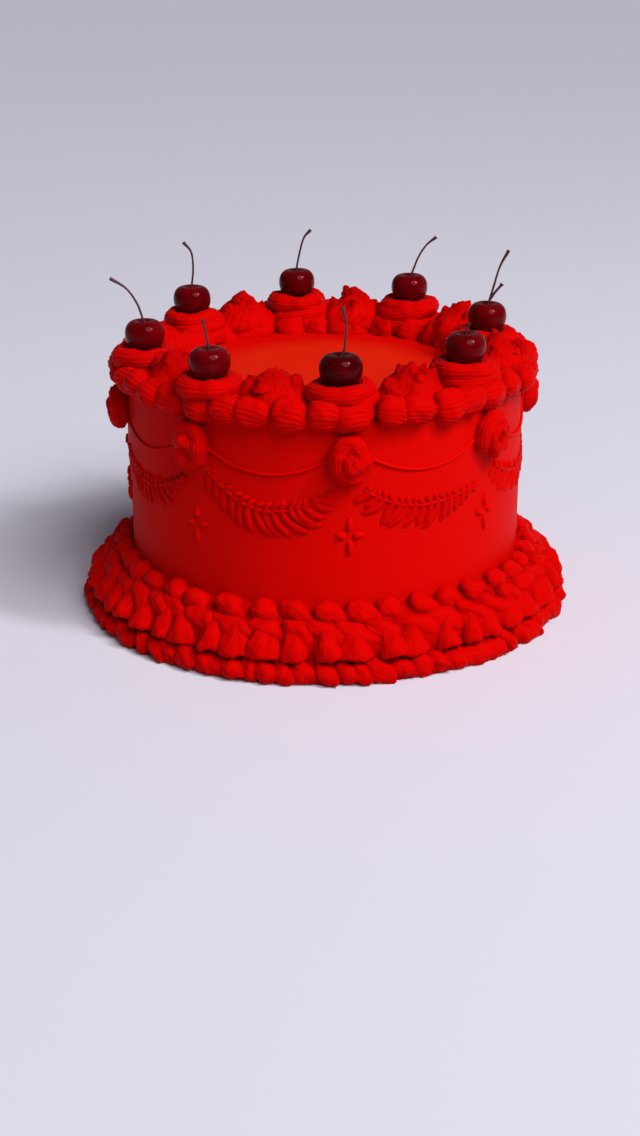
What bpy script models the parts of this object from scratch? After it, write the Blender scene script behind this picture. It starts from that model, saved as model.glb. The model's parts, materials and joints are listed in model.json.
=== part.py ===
"""Birthday cake: a tall round cake in smooth buttercream, with piped borders, swags and fresh cherries."""

import math
import random

import bmesh
import bpy
from mathutils import Vector

# Driving sizes in metres. The cake stands on z = 0 with its front towards -Y.
CAKE_RADIUS = 0.100
CAKE_HEIGHT = 0.1205
CAKE_SIDES = 72
GAP = 0.0003
UNEVENNESS = 0.05

# Border of shells that wraps over the top edge
TOP_SHELLS = 42
TOP_BORDER_MIDDLE = (0.1007, 0.1240)
TOP_BORDER_HALF_SIZE = (0.0075, 0.0070)
TOP_BORDER_INNER_FOOT = 0.0945
TOP_BORDER_LOW = 0.1174
TOP_BORDER_CREASE = 0.66
TOP_BORDER_ANGLES = (-50, 10, 75, 150)

# Rows of the base border: name, shells, low, high, radius at the foot, radius at the brow, belly, crease
BASE_ROWS = (
    ("base_border_points", 84, 0.0000, 0.0108, 0.1278, 0.1205, 0.0000, 0.0045),
    ("base_border_ruffles", 51, 0.0111, 0.0228, 0.1215, 0.1165, 0.0040, 0.0068),
    ("base_border_tails", 46, 0.0231, 0.0277, 0.1165, 0.1115, 0.0000, 0.0045),
    ("base_border_shells", 41, 0.0280, 0.0355, 0.1085, 0.1035, 0.0010, 0.0045),
)
BASE_ROW_COLUMNS = {
    "base_border_points": (0.0, 1.0),
    "base_border_ruffles": (0.0, 0.95, 1.0),
    "base_border_tails": (0.0, 1.0),
    "base_border_shells": (0.0, 0.9, 1.0),
}

# Cherries: azimuth from the front in degrees, distance from the axis, height of the middle
CHERRY_PLACES = (
    (4.7, 0.0907, 0.1434),
    (49.9, 0.0871, 0.1447),
    (97.6, 0.0838, 0.1440),
    (149.1, 0.0916, 0.1448),
    (189.0, 0.0923, 0.1453),
    (231.6, 0.0891, 0.1440),
    (285.7, 0.0909, 0.1443),
    (325.2, 0.0927, 0.1433),
)
CHERRY_WIDTH = 0.0200
CHERRY_HEIGHT = 0.0172
CHERRY_DIMPLE = 0.0026
CHERRY_RINGS = 5
CHERRY_SIDES = 12

# Stems: points beside and above each cherry's middle, in its plane across the view
STEM_RADIUS = 0.0006
STEM_KNOB = 1.7
STEM_SIDES = 5
STEM_POINTS = (
    ((0.0014, 0.0078), (0.0022, 0.0151), (0.0022, 0.0219), (0.0005, 0.0282)),
    ((0.0003, 0.0074), (0.0009, 0.0094), (0.0018, 0.0110)),
    ((0.0008, 0.0072), (0.0031, 0.0153), (0.0058, 0.0248), (0.0100, 0.0328)),
    ((0.0015, 0.0077), (0.0047, 0.0158), (0.0089, 0.0222), (0.0142, 0.0265)),
    ((0.0001, 0.0078), (0.0018, 0.0160), (0.0041, 0.0237), (0.0079, 0.0280)),
    ((0.0002, 0.0075), (0.0011, 0.0159), (0.0003, 0.0244), (-0.0037, 0.0296)),
    ((-0.0007, 0.0072), (-0.0032, 0.0148), (-0.0082, 0.0221), (-0.0157, 0.0270)),
    ((-0.0004, 0.0075), (-0.0013, 0.0121), (-0.0020, 0.0163), (-0.0026, 0.0195)),
)

# Rosettes under the cherries, and pointed swirls between them
PIPING_FOOT = CAKE_HEIGHT + GAP
LEDGE_RADIUS = TOP_BORDER_INNER_FOOT - 0.0006
LEDGE_HEIGHT = 0.1315
ROSETTE_RADIUS = 0.0170
ROSETTE_SIDES = 12
ROSETTE_RIDGE = 0.05
ROSETTE_LIMIT = 0.0178
ROSETTE_TURNS = 2.5
SWIRL_RADIUS = 0.0150
SWIRL_SIDES = 12
SWIRL_LOBE = 0.09
SWIRL_PLACE = 0.0885
SWIRL_SHOULDER = 0.1372
SWIRL_TIP = 0.1418
PIPING_REACH = 0.1068

# Rosettes on the wall, and the swags that hang between them
WALL_ROSETTE_PLACES = (6.7, 50.0, 95.0, 140.0, 184.5, 229.5, 280.0, 323.0)
WALL_ROSETTE_HEIGHT = 0.1032
WALL_ROSETTE_HALF_WIDTH = 0.0102
WALL_ROSETTE_HALF_HEIGHT = 0.0122
WALL_ROSETTE_DEPTH = 0.0112
WALL_ROSETTE_SIDES = 12
STRING_RADIUS = 0.0010
STRING_END_HEIGHT = 0.1040
STRING_LOW_HEIGHT = 0.0950
STRING_SEGMENTS = 8
STRING_SIDES = 5
GARLAND_END_HEIGHT = 0.0845
GARLAND_LOW_HEIGHT = 0.0712
GARLAND_HALF_WIDTH = 0.0066
GARLAND_END_HALF_WIDTH = 0.0030
GARLAND_DEPTH = 0.0048
GARLAND_SCALLOPS = 9
GARLAND_END_GAP = 0.0022

# Small four drop flowers below the wall rosettes
FLOWER_HEIGHT = 0.0655
FLOWER_DEPTH = 0.0016
FLOWER_DROPS = (
    (0.0000, 0.0055, 0.0017, 0.0029),
    (-0.0040, 0.0004, 0.0024, 0.0016),
    (0.0040, 0.0004, 0.0024, 0.0016),
    (0.0000, -0.0056, 0.0016, 0.0038),
)
DROP_SIDES = 5


def clear_scene():
    """Removes every object that the file holds."""
    for old in list(bpy.data.objects):
        bpy.data.objects.remove(old)


def finish_material(name, colour, roughness, metallic=0.0):
    """A plain Principled material."""
    material = bpy.data.materials.new(name)
    material.use_nodes = True
    shader = material.node_tree.nodes["Principled BSDF"]
    shader.inputs["Base Color"].default_value = (*colour, 1.0)
    shader.inputs["Roughness"].default_value = roughness
    shader.inputs["Metallic"].default_value = metallic
    material.diffuse_color = (*colour, 1.0)
    return material


def new_object(name, points, faces, material):
    """Makes one closed object from points and faces, with its faces turned outwards."""
    mesh = bpy.data.meshes.new(name)
    mesh.from_pydata([tuple(point) for point in points], [], faces)
    shape = bmesh.new()
    shape.from_mesh(mesh)
    bmesh.ops.recalc_face_normals(shape, faces=shape.faces)
    shape.to_mesh(mesh)
    shape.free()
    mesh.materials.append(material)
    mesh.shade_smooth()
    mesh.set_sharp_from_angle(angle=math.radians(50))
    thing = bpy.data.objects.new(name, mesh)
    bpy.context.scene.collection.objects.link(thing)
    return thing


def loft(name, sections, material, closed):
    """Skins equal loops of points, either round into a ring or with flat ends."""
    count = len(sections)
    size = len(sections[0])
    points = [point for section in sections for point in section]
    faces = []
    for row in range(count if closed else count - 1):
        here = row * size
        there = ((row + 1) % count) * size
        for step in range(size):
            after = (step + 1) % size
            faces.append((here + step, here + after, there + after, there + step))
    if not closed:
        faces.append(tuple(range(size)))
        faces.append(tuple(range((count - 1) * size, count * size)))
    return new_object(name, points, faces, material)


def dome(name, bottom, rings, top, material):
    """Skins equal rings of points and closes them with a point at each end."""
    size = len(rings[0])
    points = [point for ring in rings for point in ring]
    faces = []
    for row in range(len(rings) - 1):
        for step in range(size):
            after = (step + 1) % size
            low = row * size
            high = low + size
            faces.append((low + step, low + after, high + after, high + step))
    points.append(bottom)
    points.append(top)
    last = (len(rings) - 1) * size
    for step in range(size):
        after = (step + 1) % size
        faces.append((after, step, len(points) - 2))
        faces.append((last + step, last + after, len(points) - 1))
    return new_object(name, points, faces, material)


def round_the_axis(azimuth, radius, height):
    """A point by its azimuth from the front in radians, its distance from the axis and its height."""
    return Vector((radius * math.sin(azimuth), -radius * math.cos(azimuth), height))


def on_wall(across, height, depth):
    """A point that lies across the front of the wall, at some depth outside it."""
    return round_the_axis(across / CAKE_RADIUS, CAKE_RADIUS + depth, height)


def put(thing, azimuth, radius=0.0, height=0.0):
    """Places an object at a distance from the axis, turned so that its front faces out."""
    thing.location = round_the_axis(math.radians(azimuth), radius, height)
    thing.rotation_euler.z = math.radians(azimuth)


def neighbours(places):
    """Each azimuth with the next one round the cake."""
    return zip(places, [*places[1:], places[0] + 360.0])


def uneven(chance):
    """A factor close to one, for hand piping."""
    return 1.0 + chance.uniform(-UNEVENNESS, UNEVENNESS)


def bead_ring(name, beads, columns, section, material, chance):
    """A ring of piped beads; section gives the loop of radius and height for a fullness."""
    sections = []
    for bead in range(beads):
        factor = uneven(chance)
        for column, fullness in enumerate(columns):
            azimuth = 2.0 * math.pi * (bead + column / len(columns)) / beads
            sections.append([round_the_axis(azimuth, *place) for place in section(fullness * factor)])
    return loft(name, sections, material, closed=True)


def top_border_section(fullness):
    """The loop of one shell over the top edge, notched to sit on the cake's corner."""
    scale = TOP_BORDER_CREASE + (1.0 - TOP_BORDER_CREASE) * fullness
    loop = [
        (TOP_BORDER_INNER_FOOT, CAKE_HEIGHT + GAP),
        (CAKE_RADIUS + GAP, CAKE_HEIGHT + GAP),
        (CAKE_RADIUS + GAP, TOP_BORDER_LOW),
    ]
    for angle in TOP_BORDER_ANGLES:
        out = TOP_BORDER_HALF_SIZE[0] * scale * math.cos(math.radians(angle))
        up = TOP_BORDER_HALF_SIZE[1] * scale * math.sin(math.radians(angle))
        loop.append((TOP_BORDER_MIDDLE[0] + out, TOP_BORDER_MIDDLE[1] + up))
    return loop


def base_row_section(fullness, low, high, foot, brow, belly, crease):
    """The loop of one bead of a base row, which fills the space back to the wall."""
    cut = crease * (1.0 - fullness)
    middle = (foot + brow) / 2.0 + belly
    loop = [(CAKE_RADIUS + GAP, low), (foot - cut, low)]
    if belly:
        loop.append((middle - cut, (low + high) / 2.0))
    return loop + [(brow - cut, high), (CAKE_RADIUS + GAP, high)]


def make_borders(material, chance):
    """The shell border on the top edge and the four rows round the foot."""
    bead_ring("top_border", TOP_SHELLS, (0.0, 0.95, 0.8), top_border_section, material, chance)
    for name, beads, *sizes in BASE_ROWS:
        columns = BASE_ROW_COLUMNS[name]
        bead_ring(name, beads, columns, lambda full: base_row_section(full, *sizes), material, chance)


def keep_off_border(point, place, origin):
    """Moves a point of the top piping in, where the top border would be in its way."""
    out = place - point.y
    reach = math.hypot(point.x, out)
    limit = PIPING_REACH
    if point.z + origin < LEDGE_HEIGHT:
        limit = LEDGE_RADIUS
    if reach > limit:
        point.y = place - math.sqrt(limit ** 2 - point.x ** 2)
    return point


def make_rosette(number, place, material, chance):
    """A coiled rosette whose top is pressed into a seat by its cherry."""
    azimuth, radius, cherry_height = place
    rim = cherry_height - 0.0070 - PIPING_FOOT
    ledge = LEDGE_HEIGHT - PIPING_FOOT
    seat = cherry_height - CHERRY_HEIGHT / 2.0 - GAP - PIPING_FOOT
    size = ROSETTE_RADIUS * uneven(chance)
    start = chance.uniform(0.0, 2.0 * math.pi)
    levels = (
        (0.86, 0.0),
        (1.0, ledge * 0.45),
        (0.98, ledge - GAP),
        (0.99, ledge + 0.0008),
        (0.76, rim),
        (0.43, seat + 0.0010),
    )
    rings = []
    for level, (share, height) in enumerate(levels):
        turn = ROSETTE_TURNS * level / (len(levels) - 1)
        ring = []
        for side in range(ROSETTE_SIDES):
            angle = 2.0 * math.pi * side / ROSETTE_SIDES
            ridge = ROSETTE_RIDGE * math.cos(2.0 * math.pi * turn - angle - start)
            reach = min(size * share * (1.0 + (ridge if 0 < level < 5 else 0.0)), ROSETTE_LIMIT)
            point = Vector((reach * math.cos(angle), reach * math.sin(angle), height))
            ring.append(keep_off_border(point, radius, PIPING_FOOT))
        rings.append(ring)
    rosette = dome(f"rosette_{number}", Vector((0, 0, 0)), rings, Vector((0, 0, seat)), material)
    put(rosette, azimuth, radius, PIPING_FOOT)
    return rosette


def make_swirl(number, azimuth, half_width, material, chance):
    """A pointed swirl with the lobes of a star nozzle, between two rosettes."""
    ledge = LEDGE_HEIGHT - PIPING_FOOT
    shoulder = SWIRL_SHOULDER - PIPING_FOOT
    tip = (SWIRL_TIP - PIPING_FOOT) * uneven(chance)
    wide = min(SWIRL_RADIUS, half_width) / (1.0 + SWIRL_LOBE)
    deep = SWIRL_RADIUS
    levels = ((0.90, 0.0), (1.0, ledge - GAP), (0.98, ledge + 0.0008), (0.78, shoulder), (0.20, shoulder + 0.0015))
    rings = []
    for share, height in levels:
        ring = []
        for side in range(SWIRL_SIDES):
            angle = 2.0 * math.pi * side / SWIRL_SIDES
            lobe = 1.0 + (SWIRL_LOBE if side % 2 else -SWIRL_LOBE)
            point = Vector((wide * math.cos(angle), deep * math.sin(angle), 0.0)) * share * lobe
            point.z = height
            ring.append(keep_off_border(point, SWIRL_PLACE, PIPING_FOOT))
        rings.append(ring)
    lean = Vector((chance.uniform(-0.002, 0.002), chance.uniform(-0.002, 0.002), tip))
    swirl = dome(f"swirl_{number}", Vector((0, 0, 0)), rings, lean, material)
    put(swirl, azimuth, SWIRL_PLACE, PIPING_FOOT)
    return swirl


def make_top_piping(rosette_material, swirl_material, chance):
    """Rosettes under the cherries and pointed swirls in the gaps between them."""
    for number, place in enumerate(CHERRY_PLACES):
        make_rosette(number, place, rosette_material, chance)
    azimuths = [place[0] for place in CHERRY_PLACES]
    taken = ROSETTE_LIMIT + GAP
    for number, (first, second) in enumerate(neighbours(azimuths)):
        half_gap = SWIRL_PLACE * math.sin(math.radians(second - first) / 2.0)
        make_swirl(number, (first + second) / 2.0, half_gap - taken, swirl_material, chance)


def cherry_profile(step):
    """Radius and height of a cherry at a step from its bottom, with a dimple at the top."""
    angle = math.pi * step / (CHERRY_RINGS + 1)
    radius = CHERRY_WIDTH / 2.0 * math.sin(angle)
    height = -CHERRY_HEIGHT / 2.0 * math.cos(angle)
    dimple = CHERRY_DIMPLE * math.exp(-((radius / (0.35 * CHERRY_WIDTH / 2.0)) ** 2))
    return radius, height - (dimple if height > 0.0 else 0.0)


def make_cherry(number, place, skin, stem_material):
    """A cherry and, above its dimple, its stem."""
    azimuth, radius, height = place
    rings = []
    for step in range(1, CHERRY_RINGS + 1):
        reach, level = cherry_profile(step)
        angles = [2.0 * math.pi * side / CHERRY_SIDES for side in range(CHERRY_SIDES)]
        rings.append([Vector((reach * math.cos(angle), reach * math.sin(angle), level)) for angle in angles])
    bottom = Vector((0, 0, -CHERRY_HEIGHT / 2.0))
    dimple = cherry_profile(CHERRY_RINGS + 1)[1]
    cherry = dome(f"cherry_{number}", bottom, rings, Vector((0, 0, dimple)), skin)
    put(cherry, azimuth, radius, height)
    make_stem(number, cherry, dimple, stem_material)


def make_stem(number, cherry, dimple, material):
    """A thin bent stem that starts just above the dimple and ends in a small knob."""
    base = Vector((0.0, 0.0, dimple + GAP + STEM_RADIUS))
    route = [base] + [Vector((across, 0.0, up)) for across, up in STEM_POINTS[number]]
    sections = []
    for step, point in enumerate(route):
        along = route[min(step + 1, len(route) - 1)] - route[max(step - 1, 0)]
        along.normalize()
        beside = Vector((along.z, 0.0, -along.x))
        thick = STEM_RADIUS * (STEM_KNOB if step == len(route) - 1 else 1.0)
        loop = []
        for side in range(STEM_SIDES):
            angle = 2.0 * math.pi * side / STEM_SIDES
            loop.append(point + beside * (thick * math.cos(angle)) + Vector((0.0, thick * math.sin(angle), 0.0)))
        sections.append(loop)
    stem = loft(f"cherry_stem_{number}", sections, material, closed=False)
    stem.location = cherry.location
    return stem


def make_wall_rosette(number, azimuth, material, chance):
    """A coiled rosette piped against the wall."""
    size = uneven(chance)
    levels = ((0.84, GAP), (1.0, 0.0040), (0.86, 0.0085), (0.45, WALL_ROSETTE_DEPTH))
    start = chance.uniform(0.0, 2.0 * math.pi)
    rings = []
    for level, (share, depth) in enumerate(levels):
        ring = []
        for side in range(WALL_ROSETTE_SIDES):
            angle = 2.0 * math.pi * side / WALL_ROSETTE_SIDES
            ridge = 1.0 + (ROSETTE_RIDGE * math.cos(2.0 * math.pi * level * 0.4 - angle - start) if level else 0.0)
            across = WALL_ROSETTE_HALF_WIDTH * size * share * ridge * math.cos(angle)
            up = WALL_ROSETTE_HALF_HEIGHT * size * share * ridge * math.sin(angle)
            ring.append(on_wall(across, up, depth))
        rings.append(ring)
    middle = on_wall(0.0, 0.0, WALL_ROSETTE_DEPTH - 0.0012)
    rosette = dome(f"wall_rosette_{number}", on_wall(0.0, 0.0, GAP), rings, middle, material)
    put(rosette, azimuth, height=WALL_ROSETTE_HEIGHT)


def swag_route(half_span, end_height, low_height, steps):
    """Points across and up along a hanging curve, from one end to the other."""
    route = []
    for step in range(steps + 1):
        share = 2.0 * step / steps - 1.0
        height = low_height + (end_height - low_height) * share ** 2
        route.append(Vector((half_span * share, height)))
    return route


def route_normals(route):
    """The upward direction square to the route at each of its points."""
    normals = []
    for step in range(len(route)):
        along = route[min(step + 1, len(route) - 1)] - route[max(step - 1, 0)]
        along.normalize()
        normals.append(Vector((-along.y, along.x)))
    return normals


def make_garland(number, middle, half_span, material):
    """A zigzag garland with scalloped edges that hangs on the wall between two rosettes."""
    steps = 2 * GARLAND_SCALLOPS
    route = swag_route(half_span, GARLAND_END_HEIGHT, GARLAND_LOW_HEIGHT, steps)
    sections = []
    for step, (point, normal) in enumerate(zip(route, route_normals(route))):
        taper = min(1.0, 4.0 * min(step, steps - step) / steps)
        half = GARLAND_END_HALF_WIDTH + (GARLAND_HALF_WIDTH - GARLAND_END_HALF_WIDTH) * taper
        full = 1.0 if step % 2 else 0.84
        depth = GARLAND_DEPTH * (0.6 + 0.4 * taper) * (1.0 if step % 2 else 0.8)
        profile = ((-1.0, GAP), (-0.72, depth), (0.62, depth * 0.9), (1.0, GAP))
        sections.append([on_wall(*(point + normal * (half * full * share)), rise) for share, rise in profile])
    garland = loft(f"garland_{number}", sections, material, closed=False)
    put(garland, middle)


def make_string(middle, half_span, material):
    """A thin drop string, half sunk in the wall."""
    route = swag_route(half_span, STRING_END_HEIGHT, STRING_LOW_HEIGHT, STRING_SEGMENTS)
    sections = []
    for point, normal in zip(route, route_normals(route)):
        loop = []
        for side in range(STRING_SIDES):
            angle = 2.0 * math.pi * side / STRING_SIDES
            place = point + normal * (STRING_RADIUS * math.sin(angle))
            loop.append(on_wall(*place, STRING_RADIUS * (0.5 + math.cos(angle))))
        sections.append(loop)
    string = loft("string", sections, material, closed=False)
    put(string, middle)
    return string


def make_flower(azimuth, material):
    """Four drops round a point on the wall, the lowest one longest."""
    drops = []
    for across, up, half_width, half_height in FLOWER_DROPS:
        rings = []
        for share, depth in ((1.0, -FLOWER_DEPTH / 2.0), (0.62, FLOWER_DEPTH)):
            ring = []
            for side in range(DROP_SIDES):
                angle = 2.0 * math.pi * side / DROP_SIDES
                place = (across + half_width * share * math.cos(angle), up + half_height * share * math.sin(angle))
                ring.append(on_wall(*place, depth))
            rings.append(ring)
        drop = loft("drop", rings, material, closed=False)
        put(drop, azimuth, height=FLOWER_HEIGHT)
        drops.append(drop)
    return drops


def unite(target, pieces):
    """Joins pieces into the target with one Boolean union, then removes them."""
    group = bpy.data.collections.new("wall_relief")
    bpy.context.scene.collection.children.link(group)
    for piece in pieces:
        bpy.context.scene.collection.objects.unlink(piece)
        group.objects.link(piece)
    union = target.modifiers.new("relief", "BOOLEAN")
    union.operation = "UNION"
    union.operand_type = "COLLECTION"
    union.collection = group
    union.solver = "EXACT"
    bpy.context.view_layer.update()
    evaluated = target.evaluated_get(bpy.context.evaluated_depsgraph_get())
    joined = bpy.data.meshes.new_from_object(evaluated)
    target.modifiers.clear()
    target.data = joined
    for piece in pieces:
        bpy.data.objects.remove(piece)
    bpy.data.collections.remove(group)


def make_cake(material):
    """The smooth cake, with its drop strings and small flowers joined to the wall."""
    bpy.ops.mesh.primitive_cylinder_add(
        vertices=CAKE_SIDES,
        radius=CAKE_RADIUS,
        depth=CAKE_HEIGHT,
        end_fill_type="NGON",
        location=(0.0, 0.0, CAKE_HEIGHT / 2.0),
    )
    cake = bpy.context.object
    cake.name = "cake"
    cake.data.materials.append(material)
    relief = []
    clear = WALL_ROSETTE_HALF_WIDTH * (1.0 + UNEVENNESS) * (1.0 + ROSETTE_RIDGE) + GAP
    for first, second in neighbours(WALL_ROSETTE_PLACES):
        half_span = CAKE_RADIUS * math.radians(second - first) / 2.0 - clear
        relief.append(make_string((first + second) / 2.0, half_span, material))
    for azimuth in WALL_ROSETTE_PLACES:
        relief.extend(make_flower(azimuth, material))
    unite(cake, relief)
    cake.data.shade_smooth()
    cake.data.set_sharp_from_angle(angle=math.radians(30))


def make_wall_piping(rosette_material, garland_material, chance):
    """Wall rosettes and the garlands between them."""
    for number, azimuth in enumerate(WALL_ROSETTE_PLACES):
        make_wall_rosette(number, azimuth, rosette_material, chance)
    for number, (first, second) in enumerate(neighbours(WALL_ROSETTE_PLACES)):
        half_span = CAKE_RADIUS * math.radians(second - first) / 2.0 - GARLAND_END_GAP
        make_garland(number, (first + second) / 2.0, half_span, garland_material)


def make_part():
    """Builds the whole cake."""
    clear_scene()
    chance = random.Random(11)
    smooth_cream = finish_material("smooth_buttercream", (0.60, 0.010, 0.003), 0.50)
    border_cream = finish_material("border_buttercream", (0.58, 0.004, 0.004), 0.45)
    swirl_cream = finish_material("swirl_buttercream", (0.62, 0.005, 0.005), 0.45)
    garland_cream = finish_material("garland_buttercream", (0.60, 0.006, 0.004), 0.45)
    cherry_skin = finish_material("cherry_skin", (0.09, 0.001, 0.003), 0.18)
    stem_wood = finish_material("cherry_stem", (0.10, 0.06, 0.05), 0.60)
    make_cake(smooth_cream)
    make_borders(border_cream, chance)
    make_top_piping(swirl_cream, swirl_cream, chance)
    make_wall_piping(swirl_cream, garland_cream, chance)
    for number, place in enumerate(CHERRY_PLACES):
        make_cherry(number, place, cherry_skin, stem_wood)


make_part()
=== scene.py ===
"""Birthday cake in red buttercream: the looks of its smooth coat, piping, cherries and stems."""

import json
import math
import random

import bpy
import numpy as np
from mathutils import Matrix, Vector, noise

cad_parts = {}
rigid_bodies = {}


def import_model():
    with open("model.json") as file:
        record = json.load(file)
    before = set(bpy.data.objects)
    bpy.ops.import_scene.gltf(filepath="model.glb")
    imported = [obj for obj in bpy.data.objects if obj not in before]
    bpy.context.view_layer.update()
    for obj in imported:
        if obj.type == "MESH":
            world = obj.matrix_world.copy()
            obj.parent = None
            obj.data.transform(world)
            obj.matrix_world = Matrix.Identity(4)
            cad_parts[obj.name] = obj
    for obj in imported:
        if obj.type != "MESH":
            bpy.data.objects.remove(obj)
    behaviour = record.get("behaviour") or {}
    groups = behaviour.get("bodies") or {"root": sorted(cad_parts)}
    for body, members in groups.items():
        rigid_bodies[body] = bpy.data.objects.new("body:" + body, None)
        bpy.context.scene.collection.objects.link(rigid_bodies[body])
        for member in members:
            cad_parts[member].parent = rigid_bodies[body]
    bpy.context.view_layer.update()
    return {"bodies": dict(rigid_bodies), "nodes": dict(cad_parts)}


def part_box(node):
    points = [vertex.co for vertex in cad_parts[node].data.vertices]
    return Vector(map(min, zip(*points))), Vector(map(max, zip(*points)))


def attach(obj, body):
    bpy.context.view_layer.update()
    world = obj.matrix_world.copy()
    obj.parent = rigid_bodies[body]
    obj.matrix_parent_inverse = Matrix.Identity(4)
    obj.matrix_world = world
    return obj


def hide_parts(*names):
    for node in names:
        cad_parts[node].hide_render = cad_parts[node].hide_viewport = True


bl_info = {
    "name": "Piped birthday cake",
    "version": (1, 0, 0),
    "blender": (4, 5, 0),
    "location": "View3D > Sidebar > Cake",
    "description": "Pipes the borders, rosettes and swags of a birthday cake and sets cherries on it",
    "category": "Object",
}

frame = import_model()
BODY = next(iter(frame["bodies"]))

FULL_TURN = 2.0 * math.pi
# The smooth cake inside the piping, in metres
WALL_RADIUS = 0.100
TOP_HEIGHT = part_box("cake")[1].z
# The radius in metres at which a piped end stops
THIN = 0.0003


def linear(hex_colour):
    """Turns an sRGB hex colour into the linear values that Blender works with."""
    values = []
    for place in (0, 2, 4):
        share = int(hex_colour[place:place + 2], 16) / 255.0
        values.append(share / 12.92 if share <= 0.04045 else ((share + 0.055) / 1.055) ** 2.4)
    return tuple(values)


def box_middle(node):
    """The middle of a node's box."""
    low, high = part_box(node)
    return (low + high) / 2.0


def azimuth_of(point):
    """The angle round the cake from the front, in radians, growing towards the right."""
    return math.atan2(point.x, -point.y)


def round_the_axis(azimuth, radius, height):
    """A point by its azimuth from the front, its distance from the axis and its height."""
    return Vector((radius * math.sin(azimuth), -radius * math.cos(azimuth), height))


def raised(height):
    """Straight up by a height."""
    return Vector((0.0, 0.0, height))


def on_wall(azimuth, across, height, depth):
    """A point on the wall beside an azimuth, at some depth outside the wall."""
    return round_the_axis(azimuth + across / WALL_RADIUS, WALL_RADIUS + depth, height)


def nodes_named(stem):
    """The nodes whose name is the stem and a number, in order."""
    found = [name for name in frame["nodes"] if name.rsplit("_", 1)[0] == stem and name[-1].isdigit()]
    return sorted(found, key=lambda name: int(name.rsplit("_", 1)[1]))


# What the settings of one kind share
COLOUR = {"subtype": "COLOR", "size": 3, "min": 0.0, "max": 1.0}
BEADS = {"min": 12, "max": 140}
GROOVE = {"subtype": "FACTOR", "min": 0.0, "max": 0.4}
RADIUS = {"subtype": "DISTANCE", "unit": "LENGTH", "min": 0.0003, "max": 0.02}
DEPTH = {"subtype": "DISTANCE", "unit": "LENGTH", "min": 0.0, "max": 0.008}
HEIGHT = {"subtype": "DISTANCE", "unit": "LENGTH", "min": 0.02, "max": 0.12}


class CreamFinish(bpy.types.PropertyGroup):
    """Colours of the buttercream, the fruit and its stems."""

    smooth: bpy.props.FloatVectorProperty(
        name="Smooth coat", description="Colour of the buttercream spread on wall and top",
        default=linear("c60502"), **COLOUR)
    piped: bpy.props.FloatVectorProperty(
        name="Piping", description="Colour of the piped buttercream",
        default=linear("bb0302"), **COLOUR)
    cherry: bpy.props.FloatVectorProperty(
        name="Cherry skin", description="Colour of the ripe cherry skin",
        default=linear("580105"), **COLOUR)
    stem: bpy.props.FloatVectorProperty(
        name="Stem", description="Colour of the dry cherry stems",
        default=linear("4a2023"), **COLOUR)


class BorderSizes(bpy.types.PropertyGroup):
    """Sizes of the borders at the top edge and round the foot."""

    top_shells: bpy.props.IntProperty(
        name="Shells at the top edge", description="How many shells the top border has",
        default=42, **BEADS)
    foot_shells: bpy.props.IntProperty(
        name="Shells on the wall's foot", description="How many shells the uppermost foot row has",
        default=41, **BEADS)
    foot_tails: bpy.props.IntProperty(
        name="Tails", description="How many rounded tails hang below those shells",
        default=46, **BEADS)
    foot_ruffles: bpy.props.IntProperty(
        name="Ruffles", description="How many tall ruffles stand round the foot",
        default=51, **BEADS)
    foot_points: bpy.props.IntProperty(
        name="Points", description="How many small pointed shells lie on the surface",
        default=84, **BEADS)
    groove: bpy.props.FloatProperty(
        name="Groove depth", description="Depth of the nozzle's grooves as a share of a shell's radius",
        default=0.06, **GROOVE)
    top_unevenness: bpy.props.FloatProperty(
        name="Top unevenness", description="How far the surface of the top border wanders",
        default=0.0028, **DEPTH)
    foot_unevenness: bpy.props.FloatProperty(
        name="Foot unevenness", description="How far the surface of the foot border wanders",
        default=0.0032, **DEPTH)


class TopSizes(bpy.types.PropertyGroup):
    """Sizes of the rosettes and swirls on top."""

    rope: bpy.props.FloatProperty(
        name="Rosette rope", description="Radius of the rope that is coiled into a rosette",
        default=0.0050, **RADIUS)
    turns: bpy.props.FloatProperty(
        name="Turns", description="How often the rope goes round in a rosette",
        min=1.0, max=6.0, default=2.9)
    teeth: bpy.props.IntProperty(
        name="Nozzle teeth", description="How many teeth the star nozzle has",
        min=4, max=30, default=15)
    seat: bpy.props.FloatProperty(
        name="Cherry depth", description="How deep a cherry sinks into its rosette",
        default=0.0030, **DEPTH)
    swirl_teeth: bpy.props.IntProperty(
        name="Swirl teeth", description="How many folds a pointed swirl shows all round",
        min=4, max=40, default=21)
    swirl_radius: bpy.props.FloatProperty(
        name="Swirl radius", description="Radius of a pointed swirl at its foot",
        default=0.0163, **RADIUS)
    groove: bpy.props.FloatProperty(
        name="Groove depth", description="Depth of the nozzle's grooves as a share of the rope's radius",
        default=0.065, **GROOVE)


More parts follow.
